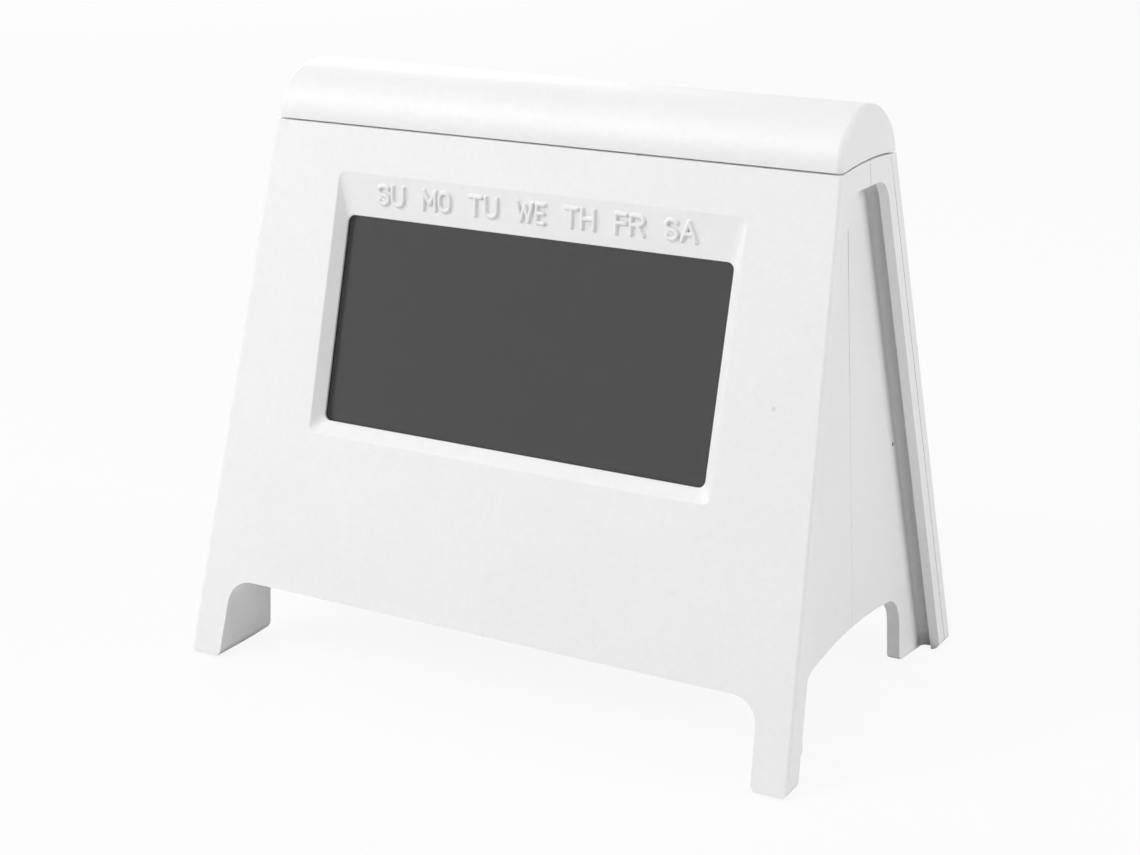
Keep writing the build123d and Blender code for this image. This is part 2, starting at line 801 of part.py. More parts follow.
# Alarm slide switch, stored at one end of its slot
knob_rest_u = knob_u - knob_travel / 2
with BuildPart() as alarm_switch:
    with BuildSketch(rear_plane.offset(-key_board_depth)):
        with Locations((knob_u, key_row_v)):
            Rectangle(alarm_switch_length, alarm_switch_height)
    extrude(amount=switch_height)
    with BuildSketch(rear_plane.offset(-switch_face_depth)):
        with Locations((knob_u, key_row_v)):
            Rectangle(knob_stem_length + knob_travel + 2 * slide_gap, knob_stem_height + 2 * slide_gap)
    extrude(amount=-switch_well_depth, mode=Mode.SUBTRACT)

with BuildPart() as alarm_knob:
    with BuildSketch(rear_plane.offset(knob_proud)):
        with Locations((knob_rest_u, key_row_v)):
            Rectangle(knob_length, knob_height)
    extrude(amount=-knob_proud - cover_thickness - fit)
    fillet(faces().sort_by(Axis.Y)[-1].edges(), knob_round)
    with BuildSketch(rear_plane.offset(-cover_thickness - fit)):
        with Locations((knob_rest_u, key_row_v)):
            Rectangle(knob_flange_length, knob_flange_height)
    extrude(amount=-button_flange_height)
    with BuildSketch(rear_plane.offset(-cover_thickness - fit)):
        with Locations((knob_rest_u, key_row_v)):
            Rectangle(knob_stem_length, knob_stem_height)
    extrude(amount=cover_thickness + fit - switch_face_depth - plunger_engagement)

# Sounder on the key board
with BuildPart() as buzzer:
    with BuildSketch(rear_plane.offset(-key_board_depth)):
        with Locations((buzzer_u, key_row_v)):
            Circle(buzzer_radius)
    extrude(amount=buzzer_height)
    with BuildSketch(rear_plane.offset(buzzer_height - key_board_depth)):
        with Locations((buzzer_u, key_row_v)):
            Circle(buzzer_bore_radius)
    extrude(amount=-buzzer_bore_depth, mode=Mode.SUBTRACT)

# Battery tray, cells and contacts
with BuildPart() as battery_tray:
    with BuildSketch(rear_plane.offset(-cover_thickness)):
        with Locations((0, tray_flange_middle)):
            Rectangle(tray_flange_width, tray_flange_high - tray_low)
        with Locations(*stake_places):
            Circle(stake_radius + screw_fit, mode=Mode.SUBTRACT)
    extrude(amount=-tray_wall)
    with BuildSketch(rear_plane.offset(-cover_thickness)):
        with Locations((0, tray_middle)):
            Rectangle(tray_length + 2 * tray_wall, tray_height + 2 * tray_wall)
    extrude(amount=cover_thickness - tray_floor_depth - tray_wall)
    with BuildSketch(rear_plane.offset(-cover_thickness)):
        with Locations((0, tray_middle)):
            Rectangle(tray_length, tray_height)
    extrude(amount=cover_thickness - tray_floor_depth, mode=Mode.SUBTRACT)


def contact_plane(side):
    """Plane of the contact plates' inner faces at one end of the tray, facing out of the tray."""
    middle_u = side * (tray_length / 2 - plate_thickness)
    middle = rear_plane.from_local_coords((middle_u, tray_middle, -cell_axis_depth))
    return Plane(middle, x_dir=rear_plane.y_dir, z_dir=rear_plane.x_dir * side)


def battery_cell(row):
    """Cylindrical cell, its nub on the contact plate: the upper row's at +u, the lower row's at -u."""
    nub_end = contact_plane(row)
    with BuildPart() as cell:
        with BuildSketch(nub_end.offset(-cell_nub_length)):
            with Locations((row * cell_pitch / 2, 0)):
                Circle(cell_radius)
        extrude(amount=-cell_body_length)
        fillet(edges().filter_by(GeomType.CIRCLE), cell_edge_round)
        with BuildSketch(nub_end):
            with Locations((row * cell_pitch / 2, 0)):
                Circle(cell_nub_radius)
        extrude(amount=-cell_nub_length)
    return cell


upper_cell = battery_cell(1)
lower_cell = battery_cell(-1)

with BuildPart() as battery_springs:
    for row in (-1, 1):
        with BuildSketch(contact_plane(-row)):
            with Locations((row * cell_pitch / 2, 0)):
                Circle(cell_spring_outer_radius)
                Circle(cell_spring_inner_radius, mode=Mode.SUBTRACT)
        extrude(amount=-spring_room)

# One plate bridges both cells, and two stand apart at the other end
with BuildPart() as battery_plates:
    with BuildSketch(contact_plane(1)):
        Rectangle(cell_pitch + plate_height, plate_height)
    extrude(amount=plate_thickness)
    with BuildSketch(contact_plane(-1)):
        with GridLocations(cell_pitch, plate_height, 2, 1):
            Rectangle(plate_height, plate_height)
    extrude(amount=plate_thickness)

# Battery door with its side and top tongues under the cover's edge
door_height = door_top - panel_low
door_back = cover_thickness - fit
with BuildPart() as battery_door:
    with BuildSketch(rear_plane):
        with Locations((0, panel_low + door_height / 2)):
            Rectangle(door_width, door_height)
    extrude(amount=-door_back)
    with BuildSketch(rear_plane.offset(-door_lip - fit)):
        with Locations((0, panel_low + (door_height + door_tongue) / 2)):
            Rectangle(door_width + 2 * door_tongue, door_height + door_tongue)
    extrude(amount=door_lip + fit - door_back)
    with BuildSketch(rear_plane):
        with Locations((0, door_top - grip_drop)):
            with GridLocations(grip_length, grip_pitch, 1, grip_count):
                Rectangle(grip_length, grip_height)
    extrude(amount=grip_proud)


def flat_cable(points):
    """Flat cable in the middle plane through bent points."""
    with BuildPart() as cable:
        with BuildSketch(Plane.YZ):
            with BuildLine():
                FilletPolyline(*points, radius=cable_bend)
            trace(line_width=cable_thickness)
        extrude(amount=cable_width / 2, both=True)
    return cable


def side_point(plane, v, depth):
    """Point of the side view at a height up a board's slope and a depth behind its face."""
    point = plane.from_local_coords((0, v, -depth))
    return (point.Y, point.Z)


key_board_back = key_board_depth + board_thickness
key_cable_rear_v = key_row_v - key_cable_drop
key_cable_front_v = window_middle - key_cable_board_drop
snooze_cable_v = window_top - snooze_cable_drop
lead_board_v = window_bottom + lead_board_rise
key_cable = flat_cable([
    side_point(rear_plane, key_cable_rear_v, key_board_back),
    side_point(rear_plane, key_cable_rear_v, key_board_back + cable_run),
    side_point(front_plane, key_cable_front_v, main_board_back + cable_run),
    side_point(front_plane, key_cable_front_v, main_board_back),
])
snooze_cable = flat_cable([
    (snooze_cable_y, snooze_board_top - board_thickness),
    (snooze_cable_y, snooze_board_top - board_thickness - cable_run),
    side_point(front_plane, snooze_cable_v, main_board_back + cable_run),
    side_point(front_plane, snooze_cable_v, main_board_back),
])


def battery_lead(row):
    """Wire from under the tray to the main board, square to both."""
    tray_back = tray_floor_depth + tray_wall
    tray_v = tray_middle + row * lead_spread
    board_u = lead_u + row * lead_spread
    start = rear_plane.from_local_coords((-board_u, tray_v, -tray_back))
    points = [
        start,
        rear_plane.from_local_coords((-board_u, tray_v, -tray_back - lead_run)),
        front_plane.from_local_coords((board_u, lead_board_v, -main_board_back - lead_run)),
        front_plane.from_local_coords((board_u, lead_board_v, -main_board_back)),
    ]
    with BuildPart() as lead:
        with BuildLine():
            FilletPolyline(*points, radius=lead_bend)
        with BuildSketch(Plane(start, z_dir=points[1] - start)):
            Circle(lead_radius)
        sweep()
    return lead


plus_lead = battery_lead(1)
minus_lead = battery_lead(-1)

# Fasteners, each group in one node
short_screw = pan_screw(screw_head_radius, screw_head_height, short_screw_length)
long_screw = pan_screw(screw_head_radius, screw_head_height, long_screw_length)
cover_screw = pan_screw(screw_head_radius, screw_head_height, cover_screw_length)
bar_screw = pan_screw(bar_head_radius, bar_head_height, bar_screw_length)


def facing(plane, depth, places):
    """Planes at places on a board, a depth behind its face and turned towards the inside."""
    return [
        Plane(plane.from_local_coords((u, v, -depth)), x_dir=plane.x_dir, z_dir=-plane.z_dir)
        for u, v in places
    ]


with BuildPart() as board_screws:
    with Locations(*facing(front_plane, main_board_back, board_boss_places)):
        add(short_screw)

with BuildPart() as key_board_screws:
    with Locations(*facing(rear_plane, key_board_back, key_boss_places)):
        add(short_screw)

with BuildPart() as snooze_board_screws:
    with Locations(*[
        Plane((x, y, snooze_board_top - board_thickness), z_dir=(0, 0, -1)) for x, y in snooze_bosses
    ]):
        add(short_screw)

with BuildPart() as bar_screws:
    with Locations(*[Plane((x, y, bar_post_end), z_dir=(0, 0, -1)) for x, y in bar_posts]):
        add(bar_screw)

with BuildPart() as shell_screws:
    with Locations(*[Plane((x, rear_boss_seat, z), z_dir=(0, 1, 0)) for x, z in shell_screw_places]):
        add(long_screw)

with BuildPart() as cover_screws:
    with Locations(*[
        Plane(rear_plane.from_local_coords((u, v, -cover_counterbore_depth)), z_dir=rear_plane.z_dir)
        for u, v in cover_screw_places
    ]):
        add(cover_screw)

pieces = {
    "front_shell": front_shell,
    "rear_shell": rear_shell,
    "back_cover": back_cover,
    "snooze_bar": snooze_bar,
    "bar_springs": bar_springs,
    "bar_screws": bar_screws,
    "display_lens": display_lens,
    "lcd_panel": lcd_panel,
    "lcd_holder": lcd_holder,
    "zebra_strip": zebra_strip,
    "main_board": main_board,
    "board_screws": board_screws,
    "clock_chip": clock_chip,
    "quartz_crystal": quartz_crystal,
    "snooze_board": snooze_board,
    "snooze_switch": snooze_switch,
    "snooze_board_screws": snooze_board_screws,
    "snooze_cable": snooze_cable,
    "key_board": key_board,
    "key_switches": key_switches,
    "key_board_screws": key_board_screws,
    "key_cable": key_cable,
    "mode_button": mode_button,
    "set_button": set_button,
    "up_button": up_button,
    "down_button": down_button,
    "alarm_switch": alarm_switch,
    "alarm_knob": alarm_knob,
    "buzzer": buzzer,
    "battery_tray": battery_tray,
    "upper_cell": upper_cell,
    "lower_cell": lower_cell,
    "battery_springs": battery_springs,
    "battery_plates": battery_plates,
    "battery_door": battery_door,
    "plus_lead": plus_lead,
    "minus_lead": minus_lead,
    "shell_screws": shell_screws,
    "cover_screws": cover_screws,
}
os.makedirs("parts", exist_ok=True)
for name, piece in pieces.items():
    piece.part.label = name
    export_step(piece.part, f"parts/{name}.step")
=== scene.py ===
"""Looks of the white A-frame desk clock: finishes, raised lettering, window, springs, light and camera.

Everything is in metres, in the model's own frame: X across, the display towards -Y, Z up from the table.
A place on a board is given across it, up its slope from the floor line, and proud of its face.
"""

import math

import bpy
import numpy as np
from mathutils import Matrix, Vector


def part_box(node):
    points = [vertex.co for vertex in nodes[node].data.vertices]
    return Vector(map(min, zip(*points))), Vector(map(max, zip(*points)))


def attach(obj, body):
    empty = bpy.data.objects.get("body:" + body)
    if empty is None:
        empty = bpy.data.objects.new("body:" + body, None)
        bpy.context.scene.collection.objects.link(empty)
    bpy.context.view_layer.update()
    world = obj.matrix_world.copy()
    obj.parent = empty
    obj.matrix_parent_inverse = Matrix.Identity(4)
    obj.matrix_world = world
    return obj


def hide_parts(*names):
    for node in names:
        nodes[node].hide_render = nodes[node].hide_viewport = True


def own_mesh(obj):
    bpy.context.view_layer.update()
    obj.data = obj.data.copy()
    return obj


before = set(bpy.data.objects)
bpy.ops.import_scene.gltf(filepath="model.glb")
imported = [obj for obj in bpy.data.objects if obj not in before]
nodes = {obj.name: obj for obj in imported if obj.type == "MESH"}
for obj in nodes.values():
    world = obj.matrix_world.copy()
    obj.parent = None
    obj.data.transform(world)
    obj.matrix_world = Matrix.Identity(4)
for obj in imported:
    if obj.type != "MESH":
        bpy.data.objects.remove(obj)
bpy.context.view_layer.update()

# Boards that lean against each other
front = -1
rear = 1
board_tilt = math.radians(15.0)

# Display window and the brow that slopes down to it
lens_depth = 0.0019
lens_thickness = 0.0012
lens_margin = 0.0012
lens_edge_round = 0.00025
lens_corner_round = 0.0006
lens_round_points = 7
lens_back_gap = 0.00005
acrylic_ior = 1.49
brow_height = 0.0068
brow_depth = 0.0015

# Raised weekday marks on the brow
weekdays = ("SU", "MO", "TU", "WE", "TH", "FR", "SA")
weekday_pitch = 0.00867
weekday_shift = -0.0003
weekday_rise = 0.00212
weekday_cap = 0.00345
weekday_stroke = 0.00056
weekday_relief = 0.00042

# Raised marks on the back
label_cap = 0.002
label_stroke = 0.00036
label_relief = 0.0003
label_rise = 0.0058
switch_label_drop = 0.0038
switch_label_spread = 0.0031
arrow_cap = 0.0056
arrow_stroke = 0.0008

# How all raised marks are moulded
mark_core_share = 0.42
mark_sink = 0.00008
mark_grid_share = 0.13
mark_margin_strokes = 2
letter_gap_share = 0.075
arc_points = 15
shortest_stretch = 1e-9

# Coil springs
wire_radius = 0.00035
wire_points = 12
turn_points = 40
end_turns = 1.0
bar_spring_turns = 5.5
bar_spring_radius = 0.00325
cell_spring_turns = 4.5
cell_spring_radius = 0.00305

# Cells, measured along a cell from the end of its nub
cell_end_length = 0.0016
cell_band_length = 0.0125
cell_line_place = 0.0139
cell_line_half_width = 0.0003
cell_band_metallic = 0.85

# Scales of the finishes' patterns, in repeats per metre
fine_grain_scale = 3000.0
drawn_scales = (4000.0, 4000.0, 150.0)
tone_drift_scale = 38.0
tone_mottle_scale = 900.0
gloss_patch_scale = 210.0
shade_patch_scale = 500.0
stain_scale = 420.0
copper_run_scale = 420.0
solder_pad_scale = 330.0

# Shares of a pattern that become copper runs and tinned pads, how far a striped part's stripes wear towards
# its plain tone, and how mottle and drift make a tone
copper_run_share = 0.07
solder_pad_share = 0.16
stripe_wear_share = 0.25
mottle_gain = 1.6
tone_middle = 0.8

# Specks in the casing's plastic, each a place, a radius and how dark it is
casing_specks = (
    ((0.04918, 0.01745, 0.03922), 0.0004, 1.0),
    ((0.0446, -0.01955, 0.0544), 0.0005, 0.15),
    ((0.0172, -0.0106, 0.0879), 0.0005, 0.25),
)
speck_colour = (0.05, 0.048, 0.045, 1.0)

# Painted shade in grooves and creases, darker where nearby surfaces close a spot in: how far about a spot
# counts, how open the spot is where the shade is full and where it begins, and the heights between which it
# ends
shade_reach = 0.003
shade_samples = 8
shade_full_openness = 0.3
shade_first_openness = 0.75
shade_fade_low = 0.08
shade_fade_high = 0.086
shade_patch_range = (0.75, 1.25)
painted_shade_colour = (0.34, 0.335, 0.325, 1.0)
casing_shade_share = 0.8

# Joint of the two shells in the side walls
end_taper = math.radians(3.1)
joint_half_gap = 0.000075
joint_foot_depth = 0.0
joint_top_depth = 0.00006
joint_middle = 0.05
tongue_half_width = 0.0012
tongue_half_depth = 0.0002
same_plane = 1e-6
same_line = 1e-5

# Camera, as found from the photograph's lines
camera_place = (0.16681, -0.29391, 0.14708)
camera_pitch = math.radians(90 - 17.72)
camera_heading = math.radians(29.67)
camera_focal_mm = 67.94
camera_sensor_mm = 36.0
camera_near = 0.01

# Table, surroundings and lamps
white = (1.0, 1.0, 1.0, 1.0)
table_grey = (0.8, 0.8, 0.8, 1.0)
table_reach = 3.0
table_white_share = 0.9
daylight_level = 0.09
lamp_target = (0.0, 0.0, 0.05)
lamps = {
    "key_lamp": ((-0.55, -0.75, 0.95), 0.6, 8.1),
    "top_lamp": ((0.0, 0.1, 1.5), 1.0, 5.6),
    "left_lamp": ((-1.2, -0.8, 0.4), 0.7, 6.0),
    "right_lamp": ((1.2, 0.35, 0.5), 0.7, 6.6),
    "front_right_lamp": ((1.1, -0.9, 0.6), 0.7, 3.6),
    "back_lamp": ((-0.9, 1.0, 0.5), 0.5, 4.2),
}


def node_points(name):
    """All mesh points of a CAD node, as rows."""
    mesh = nodes[name].data
    points = np.empty(len(mesh.vertices) * 3)
    mesh.vertices.foreach_get("co", points)
    return points.reshape(-1, 3)


def face_reach(name, side):
    """Distance of a board's face from the middle at floor level: the node's furthest reach square to the
    board, divided by the cosine of the tilt."""
    square = np.array([0.0, side * math.cos(board_tilt), math.sin(board_tilt)])
    return (node_points(name) @ square).max() / math.cos(board_tilt)


board_reach = {front: face_reach("front_shell", front), rear: face_reach("back_cover", rear)}


def on_board(side, across, up, proud):
    """Points of a board from places across, up and proud: up the slope moves in by its sine and rises by
    its cosine, proud moves out by the cosine and rises by the sine."""
    y = side * (board_reach[side] - up * math.sin(board_tilt) + proud * math.cos(board_tilt))
    z = up * math.cos(board_tilt) + proud * math.sin(board_tilt)
    return np.stack(np.broadcast_arrays(-side * across, y, z), axis=-1)


def board_middle(side, name):
    """Places across and up a board of the middle of a CAD node's box."""
    low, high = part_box(name)
    x, y, z = (low + high) / 2
    up = (board_reach[side] - side * y) * math.sin(board_tilt) + z * math.cos(board_tilt)
    return -side * x, up


# Shared effects


def add_node(tree, kind, settings=(), **inputs):
    """Shader node with its settings and inputs, where an input is a value or a socket to link."""
    made = tree.nodes.new("ShaderNode" + kind)
    for name, value in dict(settings).items():
        setattr(made, name, value)
    for name, value in inputs.items():
        feed(tree, made.inputs[name.replace("_", " ")], value)
    return made


def feed(tree, socket, value):
    """Links a socket to an input, or sets the input's value."""
    if isinstance(value, bpy.types.NodeSocket):
        tree.links.new(value, socket)
    else:
        socket.default_value = value


def calculate(tree, operation, *values):
    """Result of a Math node on values or sockets."""
    made = add_node(tree, "Math", {"operation": operation})
    for socket, value in zip(made.inputs, values):
        feed(tree, socket, value)
    return made.outputs[0]


def between(tree, share, first, second):
    """Colour between two colours by a share."""
    made = add_node(tree, "Mix", {"data_type": "RGBA"})
    colours = [socket for socket in made.inputs if socket.type == "RGBA"]
    feed(tree, made.inputs[0], share)
    feed(tree, colours[0], first)
    feed(tree, colours[1], second)
    return [socket for socket in made.outputs if socket.type == "RGBA"][0]


def span(tree, share, low, high):
    """Value that runs from low to high as a share runs from 0 to 1."""
    return add_node(tree, "MapRange", Value=share, To_Min=low, To_Max=high).outputs[0]


def smooth_fall(tree, value, low, high):
    """Value that falls in a smooth S-curve from 1 to 0 as another runs from low to high."""
    curve = {"interpolation_type": "SMOOTHSTEP"}
    ends = {"From_Min": low, "From_Max": high, "To_Min": 1.0, "To_Max": 0.0}
    return add_node(tree, "MapRange", curve, Value=value, **ends).outputs[0]


def new_group(name, inputs, outputs):
    """Empty shader node group with float inputs, given with their starting values, and float outputs."""
    group = bpy.data.node_groups.new(name, "ShaderNodeTree")
    for label, value in inputs.items():
        socket = group.interface.new_socket(label, in_out="INPUT", socket_type="NodeSocketFloat")
        socket.default_value = value
    for label in outputs:
        group.interface.new_socket(label, in_out="OUTPUT", socket_type="NodeSocketFloat")
    return group, group.nodes.new("NodeGroupInput").outputs, group.nodes.new("NodeGroupOutput").inputs


def object_place(tree):
    """Object coordinates, in metres."""
    return add_node(tree, "TexCoord").outputs["Object"]


def moulded_grain_group():
    """Spark-eroded mould surface: fine pits as height, a tone that drifts slowly and is finely mottled, and
    patches of gloss."""
    inputs = {"Grain Scale": fine_grain_scale}
    group, given, out = new_group("moulded_grain", inputs, ("Height", "Tone", "Gloss"))
    place = object_place(group)
    pits = add_node(group, "TexNoise", Vector=place, Scale=given["Grain Scale"], Detail=3.0, Roughness=0.62)
    drift = add_node(group, "TexNoise", Vector=place, Scale=tone_drift_scale, Detail=2.0)
    patches = add_node(group, "TexNoise", Vector=place, Scale=gloss_patch_scale, Detail=3.0)
    group.links.new(pits.outputs[0], out["Height"])
    mottle = add_node(group, "TexNoise", Vector=place, Scale=tone_mottle_scale, Detail=4.0, Roughness=0.7)
    offset = calculate(group, "SUBTRACT", drift.outputs[0], tone_middle)
    tone = calculate(group, "MULTIPLY_ADD", mottle.outputs[0], mottle_gain, offset)
    group.links.new(tone, out["Tone"])
    group.links.new(patches.outputs[0], out["Gloss"])
    return group


def painted_crease_shade_group():
    """Painted shade in narrow places: darker where nearby surfaces close a spot in, broken up by patches, and
    none from a set height up near the top."""
    group, given, out = new_group("painted_crease_shade", {"Reach": shade_reach}, ("Mask",))
    place = object_place(group)
    # Painted shade: ambient occlusion makes the mask, so creases, grooves and recesses get a darker base
    # colour
    about = add_node(group, "AmbientOcclusion", {"samples": shade_samples}, Distance=given["Reach"])
    rise = add_node(group, "SeparateXYZ", Vector=place).outputs["Z"]
    closed = smooth_fall(group, about.outputs["AO"], shade_full_openness, shade_first_openness)
    low = smooth_fall(group, rise, shade_fade_low, shade_fade_high)
    kept = calculate(group, "MULTIPLY", closed, low)
    patches = add_node(group, "TexNoise", Vector=place, Scale=shade_patch_scale, Detail=3.0)
    patchy = span(group, patches.outputs[0], *shade_patch_range)
    group.links.new(calculate(group, "MULTIPLY", kept, patchy), out["Mask"])
    return group


def drawn_marks_group():
    """Fine lines left on drawn or rolled metal: noise stretched along one direction."""
    inputs = dict(zip(("X Scale", "Y Scale", "Z Scale"), drawn_scales))
    group, given, out = new_group("drawn_marks", inputs, ("Height", "Tone"))
    axes = add_node(group, "CombineXYZ", X=given["X Scale"], Y=given["Y Scale"], Z=given["Z Scale"])
    stretched = add_node(group, "VectorMath", {"operation": "MULTIPLY"})
    group.links.new(object_place(group), stretched.inputs[0])
    group.links.new(axes.outputs[0], stretched.inputs[1])
    lines = add_node(group, "TexNoise", Vector=stretched.outputs[0], Scale=1.0, Detail=3.0)
    stains = add_node(group, "TexNoise", Vector=object_place(group), Scale=stain_scale, Detail=3.0)
    group.links.new(lines.outputs[0], out["Height"])
    group.links.new(stains.outputs[0], out["Tone"])
    return group


def stripes_group():
    """Even stripes across X: the share of each pitch that is a stripe."""
    group, given, out = new_group("stripes", {"Pitch": 0.001, "Share": 0.5}, ("Mask",))
    axes = add_node(group, "SeparateXYZ", Vector=object_place(group))
    turn = calculate(group, "DIVIDE", axes.outputs["X"], given["Pitch"])
    step = calculate(group, "FRACT", turn)
    group.links.new(calculate(group, "LESS_THAN", step, given["Share"]), out["Mask"])
    return group


moulded_grain = moulded_grain_group()
painted_crease_shade = painted_crease_shade_group()
drawn_marks = drawn_marks_group()
stripes = stripes_group()


def placed_group(tree, group, **inputs):
    """A shared effect placed in a material with its own values."""
    made = add_node(tree, "Group", {"node_tree": group})
    for name, value in inputs.items():
        feed(tree, made.inputs[name.replace("_", " ")], value)
    return made.outputs


# Materials


def new_material(name):
    """Node material with its tree and its Principled shader."""
    material = bpy.data.materials.new(name)
    material.use_nodes = True
    return material, material.node_tree, material.node_tree.nodes["Principled BSDF"]


def bump(tree, shader, height, strength, distance):
    """Small relief from a height."""
    made = add_node(tree, "Bump", Height=height, Strength=strength, Distance=distance)
    tree.links.new(made.outputs[0], shader.inputs["Normal"])


def moulded(
    name, colour, shade, gloss, grain_scale=fine_grain_scale, depth=0.00003, shade_share=0.4, specks=()
):
    """Moulded plastic: fine grain, a tone that drifts between two colours, patchy gloss, painted shade in
    narrow places and the specks that are given."""
    material, tree, shader = new_material(name)
    grain = placed_group(tree, moulded_grain, Grain_Scale=grain_scale)
    crease_shade = placed_group(tree, painted_crease_shade)
    tone = between(tree, grain["Tone"], (*colour, 1.0), (*shade, 1.0))
    for place, radius, share in specks:
        away = add_node(tree, "VectorMath", {"operation": "DISTANCE"})
        feed(tree, away.inputs[0], object_place(tree))
        feed(tree, away.inputs[1], place)
        near = {"From_Min": radius / 2, "From_Max": radius, "To_Min": share, "To_Max": 0.0}
        spot = add_node(tree, "MapRange", Value=away.outputs["Value"], **near)
        tone = between(tree, spot.outputs[0], tone, speck_colour)
    # Painted shade: the base colour darkens towards a grey where nearby surfaces close the spot in
    shade_amount = calculate(tree, "MULTIPLY", crease_shade["Mask"], shade_share)
    feed(tree, shader.inputs["Base Color"], between(tree, shade_amount, tone, painted_shade_colour))
    feed(tree, shader.inputs["Roughness"], span(tree, grain["Gloss"], *gloss))
    bump(tree, shader, grain["Height"], strength=0.35, distance=depth)
    return material


def metal(name, colour, shade, gloss, scales=drawn_scales):
    """Drawn or rolled metal: lines along one direction and faint stains."""
    material, tree, shader = new_material(name)
    marks = placed_group(tree, drawn_marks, X_Scale=scales[0], Y_Scale=scales[1], Z_Scale=scales[2])
    shader.inputs["Metallic"].default_value = 1.0
    feed(tree, shader.inputs["Base Color"], between(tree, marks["Tone"], (*colour, 1.0), (*shade, 1.0)))
    feed(tree, shader.inputs["Roughness"], span(tree, marks["Tone"], *gloss))
    bump(tree, shader, marks["Height"], strength=0.25, distance=0.00001)
    return material


def window_clear():
    """Clear moulded window: smooth, with faint wiped patches that are a little less polished."""
    material, tree, shader = new_material("window_clear")
    grain = placed_group(tree, moulded_grain, Grain_Scale=900.0)
    shader.inputs["Base Color"].default_value = (0.97, 0.975, 0.97, 1.0)
    shader.inputs["Transmission Weight"].default_value = 1.0
    shader.inputs["IOR"].default_value = acrylic_ior
    feed(tree, shader.inputs["Roughness"], span(tree, grain["Gloss"], 0.0, 0.04))
    return material


def display_dark():
    """Switched-off display: nearly black film, matt in patches, with a slow drift of tone. The grey that
    shows is mostly the window's reflection."""
    material, tree, shader = new_material("display_dark")
    grain = placed_group(tree, moulded_grain, Grain_Scale=1500.0)
    shader.inputs["Specular IOR Level"].default_value = 0.05
    film, shade = (0.0045, 0.0045, 0.0045, 1.0), (0.004, 0.004, 0.004, 1.0)
    feed(tree, shader.inputs["Base Color"], between(tree, grain["Tone"], film, shade))
    feed(tree, shader.inputs["Roughness"], span(tree, grain["Height"], 0.35, 0.55))
    return material


def circuit_board():
    """Green solder mask over copper runs: the edges of uneven cells as runs, round dots as tinned pads."""
    material, tree, shader = new_material("circuit_board")
    place = object_place(tree)
    settings = {"feature": "DISTANCE_TO_EDGE"}
    cells = add_node(tree, "TexVoronoi", settings, Vector=place, Scale=copper_run_scale, Randomness=0.55)
    runs = calculate(tree, "LESS_THAN", cells.outputs["Distance"], copper_run_share)
    dots = add_node(tree, "TexVoronoi", Vector=place, Scale=solder_pad_scale, Randomness=0.4)
    pads = calculate(tree, "LESS_THAN", dots.outputs["Distance"], solder_pad_share)
    mask = between(tree, runs, (0.012, 0.11, 0.045, 1.0), (0.03, 0.2, 0.085, 1.0))
    feed(tree, shader.inputs["Base Color"], between(tree, pads, mask, (0.62, 0.6, 0.55, 1.0)))
    feed(tree, shader.inputs["Metallic"], pads)
    feed(tree, shader.inputs["Roughness"], span(tree, pads, 0.32, 0.42))
    bump(tree, shader, calculate(tree, "MAXIMUM", runs, pads), strength=0.4, distance=0.00004)
    return material


def resin_drop():
    """Black potting resin: smooth, slightly wavy and glossy."""
    material, tree, shader = new_material("resin_drop")
    waves = placed_group(tree, moulded_grain, Grain_Scale=420.0)
    tone = between(tree, waves["Tone"], (0.012, 0.012, 0.013, 1.0), (0.022, 0.021, 0.02, 1.0))
    feed(tree, shader.inputs["Base Color"], tone)
    feed(tree, shader.inputs["Roughness"], span(tree, waves["Gloss"], 0.14, 0.3))
    bump(tree, shader, waves["Height"], strength=0.4, distance=0.00015)
    return material


def striped(name, plain, stripe, pitch, share, gloss, height):
    """Flat part with even stripes across X, such as a ribbon's wires or a layered rubber strip."""
    material, tree, shader = new_material(name)
    bands = placed_group(tree, stripes, Pitch=pitch, Share=share)
    grain = placed_group(tree, moulded_grain, Grain_Scale=2500.0)
    tone = between(tree, bands["Mask"], (*plain, 1.0), (*stripe, 1.0))
    wear = calculate(tree, "MULTIPLY", grain["Tone"], stripe_wear_share)
    feed(tree, shader.inputs["Base Color"], between(tree, wear, tone, (*plain, 1.0)))
    feed(tree, shader.inputs["Roughness"], span(tree, grain["Gloss"], *gloss))
    bump(tree, shader, bands["Mask"], strength=0.6, distance=height)
    return material


def cell_sleeve(name, nub_x, towards):
    """Printed sleeve of a cell: dark grey, with a copper band and a bright end by the nub.

    The distance from the nub's end, along the cell, chooses between steel, copper and grey."""
    material, tree, shader = new_material(name)
    axes = add_node(tree, "SeparateXYZ", Vector=object_place(tree))
    along = calculate(tree, "MULTIPLY", calculate(tree, "SUBTRACT", axes.outputs["X"], nub_x), towards)
    steel = calculate(tree, "LESS_THAN", along, cell_end_length)
    copper = calculate(tree, "LESS_THAN", along, cell_band_length)
    line = calculate(tree, "COMPARE", along, cell_line_place, cell_line_half_width)
    grain = placed_group(tree, moulded_grain, Grain_Scale=1600.0)
    plain = between(tree, grain["Tone"], (0.035, 0.037, 0.042, 1.0), (0.05, 0.052, 0.057, 1.0))
    ringed = between(tree, line, plain, (0.55, 0.55, 0.54, 1.0))
    banded = between(tree, copper, ringed, (0.5, 0.23, 0.1, 1.0))
    feed(tree, shader.inputs["Base Color"], between(tree, steel, banded, (0.72, 0.72, 0.72, 1.0)))
    feed(tree, shader.inputs["Metallic"], calculate(tree, "MULTIPLY", copper, cell_band_metallic))
    feed(tree, shader.inputs["Roughness"], span(tree, grain["Gloss"], 0.22, 0.36))
    bump(tree, shader, grain["Height"], strength=0.15, distance=0.00001)
    return material
